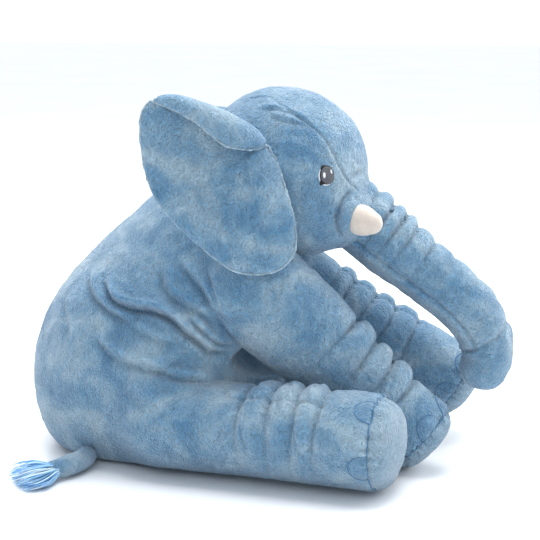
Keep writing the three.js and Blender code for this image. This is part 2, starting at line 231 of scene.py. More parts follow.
def normals_of(obj):
    no = np.empty(len(obj.data.vertices) * 3)
    obj.data.vertices.foreach_get("normal", no)
    return no.reshape(-1, 3)


def set_points(obj, points):
    obj.data.vertices.foreach_set("co", ((points + SHIFT) * MM).ravel())
    obj.data.update()


def settle(points, field, rounds=2):
    """Moves points onto the field's zero surface."""
    p = points.copy()
    small = 0.5
    for _ in range(rounds):
        value = field(p.T)
        slope = np.stack([field((p + small * e).T) - value for e in np.eye(3)], 1) / small
        size = (slope ** 2).sum(1)
        move = slope * (value / np.maximum(size, 0.05))[:, None]
        length = np.linalg.norm(move, axis=1)
        move *= np.minimum(1, 3.0 / np.maximum(length, 1e-6))[:, None]
        p -= move
    return p


def skin(name, field, low, high, step):
    """A subdivided mesh on the zero surface of a field, inside a box."""
    low = np.floor(np.asarray(low, float) / step) * step
    axes = [np.arange(low[i], high[i] + step, step) for i in range(3)]
    grid = np.meshgrid(*axes, indexing="ij", sparse=True)
    sampled = np.broadcast_to(field(grid), [len(a) for a in axes])
    points, quads = surface_net(sampled, low, step)
    obj = subdivided(new_object(name, points, quads))
    set_points(obj, settle(points_of(obj), field))
    return obj


def spline(points, count):
    """Points on a Catmull-Rom curve, evenly numbered between the given ones."""
    p = np.asarray(points, float)
    p = np.vstack([2 * p[0] - p[1], p, 2 * p[-1] - p[-2]])
    out = []
    for u in np.linspace(0, len(points) - 1, count):
        i = min(int(u), len(points) - 2)
        t = u - i
        a, b, c, d = p[i:i + 4]
        out.append(0.5 * (2 * b + (c - a) * t + (2 * a - 5 * b + 4 * c - d) * t ** 2
                          + (3 * b - a - 3 * c + d) * t ** 3))
    return np.array(out)


def faces_of(obj, start):
    return [[start + i for i in f.vertices] for f in obj.data.polygons]


def grid_faces(rows, columns, start=0, ring=False, loop=False, down=False, flip=False):
    """Quads between rows of points; a ring closes each row, a loop joins the last to the first.

    A quad's corners run along its row first, or down to the next row; flip reverses them."""
    faces = []
    for j in range(rows if loop else rows - 1):
        a, b = start + j * columns, start + (j + 1) % rows * columns
        for i in range(columns if ring else columns - 1):
            k = (i + 1) % columns
            quad = [a + i, b + i, b + k, a + k] if down else [a + i, a + k, b + k, b + i]
            faces.append(quad[::-1] if flip else quad)
    return faces


def surface_tree(*objs):
    points, faces = [], []
    for obj in objs:
        faces += faces_of(obj, len(points))
        points += [v.co.copy() for v in obj.data.vertices]
    return BVHTree.FromPolygons(points, faces)


def laid_on(tree, p, lift):
    """A layout point moved onto a surface and off it again by a small height."""
    hit, normal, _, _ = tree.find_nearest(Vector(place(p)))
    return np.array(hit) / MM - SHIFT + np.array(normal) * lift


# creases, seams and unevenness
def along(points, normals, line):
    """Distance to a line, the side of it a point is on, and how far along it is."""
    line = np.asarray(line, float)
    lengths = np.linalg.norm(np.diff(line, axis=0), axis=1)
    starts = np.concatenate([[0], np.cumsum(lengths)])
    best = np.full(len(points), FAR)
    side = np.zeros(len(points))
    run = np.zeros(len(points))
    for a, b, size, start in zip(line[:-1], line[1:], lengths, starts):
        d = (b - a) / size
        t = np.clip((points - a) @ d, 0, size)
        away = points - a - t[:, None] * d
        gap = np.linalg.norm(away, axis=1)
        near = gap < best
        best[near] = gap[near]
        across = np.cross(normals[near], d)
        side[near] = (away[near] * across).sum(1)
        run[near] = start + t[near]
    return best, side, run / starts[-1]


class Line:
    """A line drawn on a skin, whose push fades over a share of its length at both ends."""

    def __init__(self, line, fade):
        self.line, self.fade = line, fade

    def surroundings(self, points, normals, tree, margin):
        """Which points are near the line, and their distance, side and share of the full push."""
        line = np.array([laid_on(tree, p, 0) for p in spline(self.line, 4 * len(self.line))])
        near = ((points > line.min(0) - margin) & (points < line.max(0) + margin)).all(1)
        gap, side, run = along(points[near], normals[near], line)
        ends = 1.0
        if self.fade:
            ends = ease(run, -0.001, self.fade) * (1 - ease(run, 1 - self.fade, 1.001))
        return near, gap, side, ends


class Fold(Line):
    """A slack fold of the cover: a soft roll above the line and a shallow valley under it."""

    def __init__(self, line, height, width, lean=1.0, fade=0.25):
        super().__init__(line, fade)
        self.height, self.width, self.lean = height, width, lean

    def push(self, points, normals, tree):
        near, gap, side, ends = self.surroundings(points, normals, tree, 5 * self.width)
        push = np.zeros(len(points))
        side = side * self.lean
        beyond = np.exp(-((gap - np.abs(side)) / (2 * self.width)) ** 2)
        roll = np.exp(-((side - self.width) / (0.95 * self.width)) ** 2)
        lap = np.exp(-((side - 2.2 * self.width) / (2.2 * self.width)) ** 2)
        valley = np.exp(-((side + 0.25 * self.width) / (0.75 * self.width)) ** 2)
        push[near] = self.height * (0.55 * roll + 0.45 * lap - 0.75 * valley) * ends * beyond
        return push


class Crease(Line):
    """A sewn or folded line: a narrow valley, with the fabric swelling on one side of it."""

    def __init__(self, line, depth, width, swell=0.0, reach=12.0, fade=0.2):
        super().__init__(line, fade)
        self.depth, self.width, self.swell, self.reach = depth, width, swell, reach

    def push(self, points, normals, tree):
        margin = 3 * max(self.width, self.reach if self.swell else 0)
        near, gap, side, ends = self.surroundings(points, normals, tree, margin)
        push = np.zeros(len(points))
        side = side * np.sign(self.swell)
        rise = ease(side, -0.4 * self.width, 1.1 * self.width)
        fall = np.exp(-(np.maximum(side, 0) / self.reach) ** 1.6)
        beyond = np.exp(-((gap - np.abs(side)) / self.reach) ** 2)
        valley = self.depth * np.exp(-(gap / self.width) ** 2)
        push[near] = (abs(self.swell) * rise * fall * beyond - valley) * ends
        return push


# Octaves of the filling's lumps and of the pile: share of the height, shift, size in mm.
LUMPS = [(1.0, 0, 62.0), (0.5, 300, 29.0)]
RUFFLES = [(1.0, 0, 11.0), (0.45, 90, 5.0)]


def sculpt(obj, creases, coarse=2.0, fine=0.6, floor=True, extra=None):
    """Moves a skin along its normals: creases, then unevenness of the filling and the pile."""
    p, n = points_of(obj), normals_of(obj)
    push = np.zeros(len(p))
    if creases:
        tree = surface_tree(obj)
        push += sum(c.push(p, n, tree) for c in creases)
    if extra is not None:
        push += extra(p)
    soft = sum(coarse * share * lumps(p + shift, size) for share, shift, size in LUMPS)
    soft += sum(fine * share * ruffle(p + shift, size) for share, shift, size in RUFFLES)
    if floor:
        soft *= ease(p[:, 2], 2.0, 25.0)
    p = p + n * (push + soft)[:, None]
    if floor:
        p[:, 2] = np.maximum(p[:, 2], FLOOR)
    set_points(obj, p)
    mark_relief(obj)


RELIEF_PASSES, RELIEF_GAIN = 10, 0.24


def mark_relief(obj):
    """Stores how far each point stands out of its surroundings, for painted highlights on ridges and
    painted shade in creases.
    """
    p, n = points_of(obj), normals_of(obj)
    edges = np.empty(len(obj.data.edges) * 2, int)
    obj.data.edges.foreach_get("vertices", edges)
    a, b = edges.reshape(-1, 2).T
    many = np.maximum(np.bincount(a, minlength=len(p)) + np.bincount(b, minlength=len(p)), 1)

    def averaged(values):
        out = np.zeros_like(values)
        for i in range(values.shape[1]):
            out[:, i] = np.bincount(a, values[b, i], len(p)) + np.bincount(b, values[a, i], len(p))
        return out / many[:, None]

    q = p
    for _ in range(RELIEF_PASSES):
        q = averaged(q)
    relief = ((p - q) * n).sum(1)
    relief = np.clip(0.5 + RELIEF_GAIN * (relief - np.median(relief)), 0, 1)
    layer = obj.data.attributes.new("relief", "FLOAT", "POINT")
    layer.data.foreach_set("value", relief.astype(np.float32))


# materials
def linear(rgb):
    """An sRGB colour of 0-255 as a linear one."""
    out = [c / 255 for c in rgb]
    return tuple(c / 12.92 if c <= 0.04045 else ((c + 0.055) / 1.055) ** 2.4 for c in out) + (1.0,)


class Nodes:
    """Short names for the few shader nodes used here."""

    def __init__(self, name):
        self.material = bpy.data.materials.new(name)
        self.material.use_nodes = True
        self.tree = self.material.node_tree
        self.shader = self.tree.nodes["Principled BSDF"]
        self.space = self.tree.nodes.new("ShaderNodeTexCoord").outputs["Object"]

    def link(self, out, target):
        self.tree.links.new(out, target)

    def feed(self, node, values):
        """Sets numbered inputs to a number or to another node's output."""
        for key, value in values.items():
            if hasattr(value, "links"):
                self.link(value, node.inputs[key])
            else:
                node.inputs[key].default_value = value

    def noise(self, scale, detail=2.0, stretch=(1, 1, 1), turn=(0, 0, 0), twist=0.0):
        mapping = self.tree.nodes.new("ShaderNodeMapping")
        mapping.inputs["Scale"].default_value = stretch
        mapping.inputs["Rotation"].default_value = turn
        self.link(self.space, mapping.inputs["Vector"])
        node = self.tree.nodes.new("ShaderNodeTexNoise")
        node.inputs["Scale"].default_value = scale
        node.inputs["Detail"].default_value = detail
        node.inputs["Distortion"].default_value = twist
        self.link(mapping.outputs["Vector"], node.inputs["Vector"])
        return node.outputs["Fac"]

    def ramp(self, fac, stops):
        node = self.tree.nodes.new("ShaderNodeValToRGB")
        band = node.color_ramp.elements
        while len(band) < len(stops):
            band.new(0.5)
        for element, (position, colour) in zip(band, stops):
            element.position = position
            element.color = colour if isinstance(colour, tuple) else (colour,) * 3 + (1.0,)
        self.link(fac, node.inputs["Fac"])
        return node.outputs["Color"]

    def mix(self, fac, a, b, how="MIX"):
        node = self.tree.nodes.new("ShaderNodeMix")
        node.data_type = "RGBA"
        node.blend_type = how
        self.feed(node, {0: fac, 6: a, 7: b})       # the colour mix's own sockets
        return node.outputs[2]

    def math(self, how, a, b):
        node = self.tree.nodes.new("ShaderNodeMath")
        node.operation = how
        self.feed(node, {0: a, 1: b})
        return node.outputs[0]

    def attribute(self, name):
        node = self.tree.nodes.new("ShaderNodeAttribute")
        node.attribute_name = name
        return node.outputs["Fac"]

    def bump(self, height, strength, distance, below=None):
        node = self.tree.nodes.new("ShaderNodeBump")
        node.inputs["Strength"].default_value = strength
        node.inputs["Distance"].default_value = distance
        self.link(height, node.inputs["Height"])
        if below:
            self.link(below, node.inputs["Normal"])
        return node.outputs["Normal"]

    def finish(self, colour, normal=None, **values):
        self.link(colour, self.shader.inputs["Base Color"])
        if normal:
            self.link(normal, self.shader.inputs["Normal"])
        for key, value in values.items():
            self.shader.inputs[key.replace("_", " ")].default_value = value
        return self.material


PATCH_SHARE = 0.74             # of the broad patches in the pile's tone; the rest is brushed
TONE_SPREAD = 0.15             # from the middle tone to the deep and the pale one
TUFT_SHADE = [(0.32, 0.88), (0.68, 1.08)]
FIBRE_SHADE = [(0.3, 0.86), (0.7, 1.12)]
# painted shade in creases and painted highlight on ridges, from the relief attribute
RIDGE_HIGHLIGHT_CREASE_SHADE = [(0.0, 0.74), (0.35, 0.94), (0.5, 1.0), (0.75, 1.12), (1.0, 1.2)]
TUFT_BUMP, FIBRE_BUMP = (0.8, 0.0054), (1.0, 0.003)      # strength and height in metres


def plush(name, deep, middle, pale, sheen=0.7, contrast=1.0):
    """Short pile: brushed patches, fibre speckle, painted highlights on ridges, painted shade in
    creases and a soft sheen.
    """
    m = Nodes(name)
    patches = m.noise(11, 3, stretch=(1, 1, 1.25), turn=(0.2, 0.5, 0.1), twist=1.6)
    brushed = m.noise(42, 3, stretch=(1, 1, 0.8), turn=(0.3, 0.9, 0.2), twist=1.8)
    tufts = m.noise(240, 3, stretch=(1, 1, 0.75), turn=(0.6, 0.9, 0.5), twist=1.4)
    fibres = m.noise(560, 2, stretch=(1, 1, 0.6), turn=(0.5, 0.8, 0.8), twist=0.9)
    rest = m.math("MULTIPLY", brushed, 1 - PATCH_SHARE)
    nap = m.math("ADD", m.math("MULTIPLY", patches, PATCH_SHARE), rest)
    half = TONE_SPREAD / contrast
    tone = m.ramp(nap, [(0.5 - half, linear(deep)), (0.49, linear(middle)), (0.5 + half, linear(pale))])
    # the relief ramp paints shade into creases and highlights onto ridges
    shades = (tufts, TUFT_SHADE), (fibres, FIBRE_SHADE), (m.attribute("relief"), RIDGE_HIGHLIGHT_CREASE_SHADE)
    for source, shade in shades:
        tone = m.mix(1.0, tone, m.ramp(source, shade), "MULTIPLY")
    normal = m.bump(fibres, *FIBRE_BUMP, m.bump(tufts, *TUFT_BUMP))
    return m.finish(tone, normal, Roughness=0.95, Sheen_Weight=sheen, Sheen_Roughness=0.4,
                    Sheen_Tint=(0.93, 0.96, 1.0, 1.0), Specular_IOR_Level=0.12)


def plain(name, colour, spread=0.12, scale=700, rough=0.8, sheen=0.3, bump=0.4):
    """Small parts: one colour with a fine thread or fibre grain."""
    m = Nodes(name)
    grain = m.noise(scale, 3, stretch=(1, 1, 0.4), turn=(0.4, 0.6, 0.1))
    dark = tuple(c * (1 - spread) for c in linear(colour)[:3]) + (1.0,)
    light = tuple(min(c * (1 + spread), 1) for c in linear(colour)[:3]) + (1.0,)
    tone = m.ramp(grain, [(0.3, dark), (0.7, light)])
    return m.finish(tone, m.bump(grain, bump, 0.0006), Roughness=rough, Sheen_Weight=sheen,
                    Sheen_Roughness=0.4, Specular_IOR_Level=0.25)


def yarn(name, deep, middle, pale):
    """Glossy strands, each with its own shade."""
    m = Nodes(name)
    shades = [(0.1, linear(deep)), (0.5, linear(middle)), (0.95, linear(pale))]
    tone = m.ramp(m.attribute("tint"), shades)
    grain = m.noise(900, 2)
    return m.finish(tone, m.bump(grain, 0.4, 0.0005), Roughness=0.34, Sheen_Weight=0.3,
                    Specular_IOR_Level=0.5)


PLUSH = plush("blue_plush", (86, 135, 172), (117, 158, 188), (158, 186, 204))
SOLE = plush("sole_plush", (118, 154, 179), (134, 166, 188), (156, 180, 197), contrast=0.8)
NAIL = plush("nail_plush", (84, 130, 166), (104, 148, 182), (124, 164, 194), contrast=0.7)
# plush of the ear's edge seam, paler as a painted rim highlight
RIM_PAINTED_HIGHLIGHT = plush("rim_plush", (146, 180, 204), (164, 192, 211), (182, 204, 218))
TUSK = plain("tusk_plush", (204, 193, 182), 0.06, 900, rough=0.7, sheen=0.5, bump=0.4)
# dark seam thread: stitching, and painted shade of the seam grooves it lies in
SEAM_THREAD_AND_GROOVE_SHADE = plain("stitched_seam", (78, 118, 152), 0.2, 900)
THREAD = yarn("tassel_yarn", (92, 158, 218), (150, 204, 240), (226, 242, 250))
EYE_BLACK = plain("eye_thread_black", (22, 20, 22), 0.3, 1500, rough=0.5)
EYE_GREY = plain("eye_thread_grey", (88, 90, 96), 0.3, 1500, rough=0.5)
EYE_WHITE = plain("eye_thread_white", (236, 238, 240), 0.08, 1500, rough=0.5)


def dress(obj, material, body=None, stands_for=()):
    """A piece's look, its body and the CAD nodes it stands for; None keeps its own materials."""
    if material:
        obj.data.materials.clear()
        obj.data.materials.append(material)
    if body:
        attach(obj, body)
    if stands_for:
        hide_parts(*stands_for)


# limbs
PUFF_POWER = 0.62              # below 1 a puff is fuller than a sine wave
PLEAT_WIDTH = 4.6              # of the groove between two puffs
LAST_PUFF = 2.0                # the foot swells less than the puffs above it
PLEAT_WAVE = 2.2               # how far a pleat wanders along the limb
ROW_DEPTH, ROW_WIDTH = 2.8, 4.0
ROW_SWELL, ROW_REACH, ROW_SPREAD = 1.8, 15, 12
SOLE_GROOVE, SOLE_GROOVE_WIDTH = 3.6, 2.8
SOLE_ROUND = 2.3               # power that rounds the foot into its sole
ROOT_DOME = 46.0               # length of the dome inside a limb's root
BEND_LENGTH = 62               # of the sewn neck past the limb's root


class Limb:
    """A straight sewn leg: a tube with pleats on its upper side, a foot and a bulging sole."""

    def __init__(self, name, side, pivot, foot, kind, pleats, toes, rows):
        self.name, self.side = name, side
        self.pivot, self.foot = vec(*pivot), vec(*foot)
        self.length = np.linalg.norm(self.foot - self.pivot)
        self.d = unit(self.foot - self.pivot)
        across = vec(0, side, 0)
        self.out = unit(across - self.d * (across @ self.d))
        self.up = np.cross(self.out, self.d) * -side
        stations = kind["stations"]
        self.profile = smooth_profile(stations + [(self.length, stations[-1][1])], 60)
        self.width, self.bulge = kind["width"], kind["bulge"]
        self.start, self.wrap = kind["start"], kind["wrap"]
        self.puff, self.pleat = kind["puff"], kind["pleat"]
        self.pleats, self.toes, self.rows = pleats, toes, rows
        self.wrinkles = kind["wrinkles"]

    def local(self, p):
        q = offset(p, self.pivot)
        return [dot(q, w) for w in (self.d, self.out, self.up)]

    def radius(self, s, turn):
        """Radius at a distance along the limb and an angle from its top towards its outside."""
        r = np.interp(s, *self.profile)
        high = np.clip(self.wrap + (1.1 - self.wrap) * np.cos(turn - 0.15), 0.03, 1)
        s = s + PLEAT_WAVE * np.sin(2 * turn + 0.05 * s)
        marks = self.pleats + [self.length]
        for i, (a, b) in enumerate(zip(marks[:-1], marks[1:])):
            t = np.clip((s - a) / (b - a), 0, 1)
            last = i == len(marks) - 2
            size, power = (LAST_PUFF, 0.9) if last else (self.puff, PUFF_POWER)
            r = r + size * high * np.sin(np.pi * t) ** power
        for a in self.pleats:
            r = r - self.pleat * high * np.exp(-((s - a) / PLEAT_WIDTH) ** 2)
        inside = ease(s, marks[0] - 30, marks[0]) * (1 - ease(s, marks[-2], marks[-2] + 10))
        for row in self.rows:
            gap = (turn - math.radians(row)) * r
            r = r - ROW_DEPTH * inside * np.exp(-(gap / ROW_WIDTH) ** 2)
            beside = (gap + math.copysign(ROW_REACH, row)) / ROW_SPREAD
            r = r + ROW_SWELL * inside * np.exp(-beside ** 2)
        return r - SOLE_GROOVE * np.exp(-((s - self.length) / SOLE_GROOVE_WIDTH) ** 2)

    def coordinates(self, p):
        s, u, v = self.local(p)
        u = u / self.width
        return s, np.arctan2(u, v), np.sqrt(u * u + v * v)

    def field(self, p):
        s, turn, rho = self.coordinates(p)
        r = self.radius(np.clip(s, self.start, self.length), turn)
        tail = np.maximum(self.start - s, 0) * r / ROOT_DOME
        sole = np.maximum(s - self.length, 0) * r / self.bulge
        n = SOLE_ROUND
        reach = (rho ** n + tail ** n + sole ** n) ** (1 / n)
        return meet(reach - r, FLOOR - p[2], 7)

    def stub(self, p):
        """The limb's root as the torso carries it, ending in a dome inside the limb."""
        s, turn, rho = self.coordinates(p)
        r = self.radius(np.clip(s, 0, self.start), turn)
        past = np.maximum(s - self.start, 0) * r / ROOT_DOME
        behind = np.minimum(s, 0)
        return np.sqrt(rho ** 2 + past ** 2 + behind ** 2) - r

    def at(self, s, turn, lift=0.0):
        r = float(self.radius(np.array([s]), np.array([turn]))[0]) + lift
        return (self.pivot + self.d * s + self.out * r * self.width * math.sin(turn)
                + self.up * r * math.cos(turn))

    def axis_point(self, s):
        return place(self.pivot + self.d * s)


ARM_RIGHT = {"stations": [(0, 67), (30, 65), (60, 64), (90, 59), (110, 54), (150, 49.5), (200, 48)],
             "width": 0.71, "bulge": 22, "start": 30, "wrap": 0.2, "puff": 6, "pleat": 6,
             "wrinkles": 3}
ARM_LEFT = {"stations": [(0, 49), (50, 44), (90, 40), (140, 42), (190, 45)],
            "width": 1.0, "bulge": 22, "start": 26, "wrap": 0.7, "puff": 4.4, "pleat": 4.4,
            "wrinkles": 0}
LEG = {"stations": [(0, 57), (60, 56), (120, 54.5), (190, 55.5)], "width": 1.0, "bulge": 27,
       "start": 34, "wrap": 0.5, "puff": 5, "pleat": 4, "wrinkles": 3}
ARMS = [
    Limb("front_leg_right", -1, (2, -88, 212), (194, -80, 38.2), ARM_RIGHT,
         [105, 143, 173, 203], [30, 90, 150], [-36]),
    Limb("front_leg_left", 1, (22, 88, 197), (233, 80, 66), ARM_LEFT,
         [42, 68, 98, 130, 165], [72, 132, 192], [-14]),
]
LEGS = [Limb(f"rear_leg_{name}", side, (-106, side * 121, 58.6), (153, side * 178, 58.6), LEG,
             [108, 142, 172, 200], [-16, 57, 128], [32, -32]) for name, side in SIDES]


# torso: a leaning pear round an axis, with the legs' roots joined to it
PEAR_FROM, PEAR_TO, PEAR_WIDTH = vec(-192, 0, 18), vec(0, 0, 343), 0.93
PEAR = smooth_profile([(-72, 0), (-60, 58), (-35, 104), (0, 132), (45, 150), (100, 157), (150, 152),
                       (200, 138), (250, 122), (300, 103), (340, 76), (366, 40), (377, 0)])
LAP, LAP_RADII = (36, 130), (66, 28)          # the hollow in front of the belly, above the legs
LEG_JOIN, ARM_JOIN, LAP_JOIN = 36, 20, 5


def torso_field(p):
    axis = unit(PEAR_TO - PEAR_FROM)
    q = offset(p, PEAR_FROM)
    s = dot(q, axis)
    rest = [q[i] - s * axis[i] for i in range(3)]
    rho = np.sqrt(rest[0] ** 2 + (rest[1] / PEAR_WIDTH) ** 2 + rest[2] ** 2)
    slope = np.gradient(PEAR[1], PEAR[0])
    steep = np.interp(s, PEAR[0], slope)
    pear = (rho - np.interp(s, *PEAR)) / np.sqrt(1 + steep ** 2)
    for limbs, size in ((LEGS, LEG_JOIN), (ARMS, ARM_JOIN)):
        for limb in limbs:
            pear = join(pear, limb.stub(p), size)
    u, v = (p[0] - LAP[0]) / LAP_RADII[0], (p[2] - LAP[1]) / LAP_RADII[1]
    lap = np.sqrt(u ** 2 + v ** 2 + 0 * p[1])
    pear = meet(pear, -(lap - 1) * LAP_RADII[1], LAP_JOIN)
    return meet(pear, FLOOR - p[2], 12)


# Folds of the slack flank and the stretched fabric under the arm, on the right side:
# line, height, width.
FLANK = [
    ([(-216, -60, 240), (-211, -77, 222), (-200, -100, 205), (-175, -121, 191),
      (-143, -132, 181)], 7, 7),
    ([(-188, -92, 240), (-186, -98, 224), (-174, -113, 205), (-153, -122, 198), (-126, -127, 196),
      (-102, -129, 188), (-84, -130, 173), (-62, -126, 155), (-54, -122, 147), (-37, -114, 146),
      (-22, -105, 150)], 13.5, 5.8),
    ([(-84, -126, 192), (-76, -126, 184), (-60, -124, 168), (-46, -118, 157), (-22, -104, 156)], 8, 5),
    ([(-205, -118, 168), (-185, -131, 152), (-169, -139, 140), (-146, -141, 134), (-121, -142, 128),
      (-106, -140, 130), (-92, -137, 138), (-71, -131, 145)], 6, 8),
    ([(-125, -142, 124), (-106, -140, 122), (-88, -139, 114), (-65, -139, 114),
      (-41, -144, 114)], 6, 6),
    ([(-98, -106, 258), (-87, -111, 244), (-68, -116, 225), (-50, -115, 202),
      (-30, -110, 180)], 5.5, 7),
    ([(-120, -108, 250), (-114, -113, 235), (-108, -120, 219), (-90, -123, 206), (-61, -121, 190),
      (-38, -115, 178)], 6.5, 8),
    ([(-64, -112, 250), (-48, -112, 226), (-34, -110, 204), (-22, -106, 184)], 4, 6),
    ([(-150, -128, 100), (-128, -150, 88), (-100, -160, 74)], 3, 10),
    ([(-236, -60, 190), (-228, -90, 170), (-222, -108, 145)], 3.5, 9),
    ([(-150, -122, 176), (-120, -138, 164), (-92, -139, 158)], 3.5, 7),
]
ARMPIT = [(-14, -103, 147), (-28, -111, 163), (-38, -115, 178), (-50, -117, 195)]


QUIETER = 0.6


def flank_creases():
    """The folds on one side, and quieter ones mirrored to the other."""
    shapes = []
    for line, height, width in FLANK:
        shapes.append(Fold(line, height, width))
        other = [mirrored(p, -1) for p in line][::-1]
        shapes.append(Fold(other, QUIETER * height, 1.1 * width))
    for side in (-1, 1):
        twin = [mirrored(p, -side) for p in ARMPIT]
        shapes.append(Crease(twin, 4.5, 4, -2 * side, 12, 0.4))
    return shapes


BACK_SEAM = [(-60, 0, 400), (-120, 0, 330), (-170, 0, 285), (-215, 0, 240), (-262, 0, 190),
             (-290, 0, 130), (-297, 0, 80), (-285, 0, 20)]


def make_torso():
    torso = skin("torso_skin", torso_field, (-312, -196, -8), (120, 196, 392), 4.7)
    sculpt(torso, flank_creases() + [Crease(BACK_SEAM, 2.2, 3.5, fade=0)], coarse=2.6)
    dress(torso, PLUSH, "torso", ["torso_cover", "torso_stuffing"])


# limbs as meshes
def split_at(obj, point, normal, name):
    """Cuts a mesh by a plane; what lies beyond it becomes a new object."""
    other = obj.copy()
    other.data = obj.data.copy()
    other.name = name
    bpy.context.scene.collection.objects.link(other)
    for piece, flip in ((obj, False), (other, True)):
        bm = bmesh.new()
        bm.from_mesh(piece.data)
        geom = bm.verts[:] + bm.edges[:] + bm.faces[:]
        bmesh.ops.bisect_plane(bm, geom=geom, plane_co=point, plane_no=normal, dist=1e-6,
                               clear_outer=not flip, clear_inner=flip)
        bm.to_mesh(piece.data)
        bm.free()
    return other


NAIL_SIZE = (32.0, 20.5)       # across the foot and along it
NAIL_GRID = (29, 9)
NAIL_CROWN = 1.8               # how far a nail's middle stands out
STITCH_RADIUS, SEAM_RADIUS = 0.95, 1.0
SEAM_POINTS = 120


def make_nail(limb, number, angle, tree):
    """A half-round claw patch against the sole seam, with a stitched rim in dark thread that also
    paints the shade of its groove.
    """
    columns, rings = NAIL_GRID
    turn0 = math.radians(90 - angle)
    r = np.interp(limb.length - 8, *limb.profile)
    points = []
    for j in range(rings):
        f = j / (rings - 1)
        for i in range(columns):
            a = math.pi * i / (columns - 1)
            x = f * NAIL_SIZE[0] / 2 * math.cos(a)
            y = 1.2 + f * NAIL_SIZE[1] * math.sin(a)
            girth = r * math.hypot(limb.width * math.cos(turn0), math.sin(turn0))
            height = 0.4 + NAIL_CROWN * (1 - f ** 2.5)
            on = limb.at(limb.length - y, turn0 + x / girth)
            points.append(laid_on(tree, on, height))
    faces = grid_faces(rings, columns, flip=limb.side < 0)
    patch = subdivided(new_object("nail_patch", points, faces))
    stitches = tube_mesh("nail_stitches", [points[(rings - 1) * columns:]], STITCH_RADIUS, 6)
    for part, material in ((patch, NAIL), (stitches, SEAM_THREAD_AND_GROOVE_SHADE)):
        part.data.materials.append(material)
    nail = joined([patch, stitches], f"{limb.name}_nail_patch_{number}")
    sculpt_small(nail, 0.25)
    dress(nail, None, limb.name, [f"{limb.name}_nail_{number}"])


def sculpt_small(obj, amount):
    p, n = points_of(obj), normals_of(obj)
    set_points(obj, p + n * (amount * ruffle(p, 3.0))[:, None])
    mark_relief(obj)


def make_limb(limb):
    reach = 110
    low = np.minimum(limb.pivot, limb.foot) - reach
    high = np.maximum(limb.pivot, limb.foot) + reach
    low[2] = max(low[2], -8)
    leg = skin(f"{limb.name}_skin", limb.field, low, high, 3.6)
    sculpt(leg, limb_creases(limb), coarse=1.3, extra=lambda p: 1.5 * gathers(limb, p))
    seam = limb.pivot + limb.d * limb.length
    sole = split_at(leg, place(seam), limb.d, f"{limb.name}_sole_pad")
    tree = surface_tree(leg)
    for i, angle in enumerate(limb.toes):
        make_nail(limb, i + 1, angle, tree)
    # the sole seam ring: stitching whose dark thread is also painted shade of the seam's groove
    ring = []
    for turn in np.linspace(0, 2 * np.pi, SEAM_POINTS, endpoint=False):
        at = laid_on(tree, limb.at(limb.length - 0.4, turn), 0.1)
        ring.append((at[0], at[1], max(at[2], FLOOR + 1.0)))
    seam_line = tube_mesh(f"{limb.name}_sole_seam", [ring], SEAM_RADIUS, 6, closed=True)
    dress(seam_line, SEAM_THREAD_AND_GROOVE_SHADE, limb.name)
    dress(sole, SOLE, limb.name, [f"{limb.name}_sole"])
    dress(leg, PLUSH, None, [f"{limb.name}_cover", f"{limb.name}_stuffing"])
    bend = [limb.axis_point(s) for s in (limb.start, limb.start + BEND_LENGTH)]
    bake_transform(leg)


def gathers(limb, p):
    """Small pleats where the sole is eased into the foot."""
    s, turn, _ = limb.coordinates(p.T)
    return np.cos(turn * 21 + 3 * np.sin(turn * 4)) * np.exp(-np.abs(s - limb.length) / 9)


def limb_creases(limb):
    """Short slanting wrinkles in the bends between the puffs."""
    rng = np.random.RandomState(40 + len(limb.name) + limb.side)
    shapes = []
    for s in limb.pleats[:-1]:
        for _ in range(limb.wrinkles):
            turn = math.radians(rng.uniform(-95, 95))
            line = [limb.at(s + 4 + 7 * t, turn + 0.35 * t) for t in (0, 1, 2)]
            shapes.append(Crease(line, 1.5, 3, 1.5, 7))
    return shapes


# head
HEAD_CENTRE, HEAD_RADII = (15, 0, 352), (106, 96, 98)
TRUNK_START, TRUNK_START_RADIUS, TRUNK_JOIN = ((70, 0, 318), (103, 0, 295)), 38, 22
CHEEK, CHEEK_RADII, CHEEK_JOIN = (52, 42, 306), (58, 44, 54), 30
MUZZLE, MUZZLE_RADII, MUZZLE_JOIN = (86, 34, 303), (34, 34, 36), 20


def head_field(p):
    skull = ball(p, HEAD_CENTRE, HEAD_RADII)
    for side in (-1, 1):
        skull = join(skull, ball(p, mirrored(CHEEK, side), CHEEK_RADII), CHEEK_JOIN)
        skull = join(skull, ball(p, mirrored(MUZZLE, side), MUZZLE_RADII), MUZZLE_JOIN)
    root = capsule(p, *TRUNK_START, TRUNK_START_RADIUS, TRUNK_START_RADIUS)
    return join(skull, root, TRUNK_JOIN)


# Seams of the face on the right side: line, depth, width, swell, reach, fade.
HEAD_LINES = [
    ([(-40, -34, 452), (3, -40, 446), (22, -56, 433), (42, -64, 422), (58, -66, 412), (75, -68, 396),
      (83, -68, 383), (91, -67, 367), (95, -63, 356), (98, -59, 346), (106, -43, 325)],
     2.0, 2.2, 0.6, 9, 0.05),
    ([(98, -59, 346), (110, -43, 351), (120, -14, 352)], 2.4, 3.4, 2.0, 10, 0.25),
    ([(109, -56, 336), (98, -68, 326), (91, -76, 306), (94, -74, 286), (103, -64, 274)],
     4.0, 3.4, -3.0, 12, 0.25),
    ([(104, -60, 276), (96, -58, 264), (86, -48, 255)], 2.0, 4, 2, 10, 0.3),
]
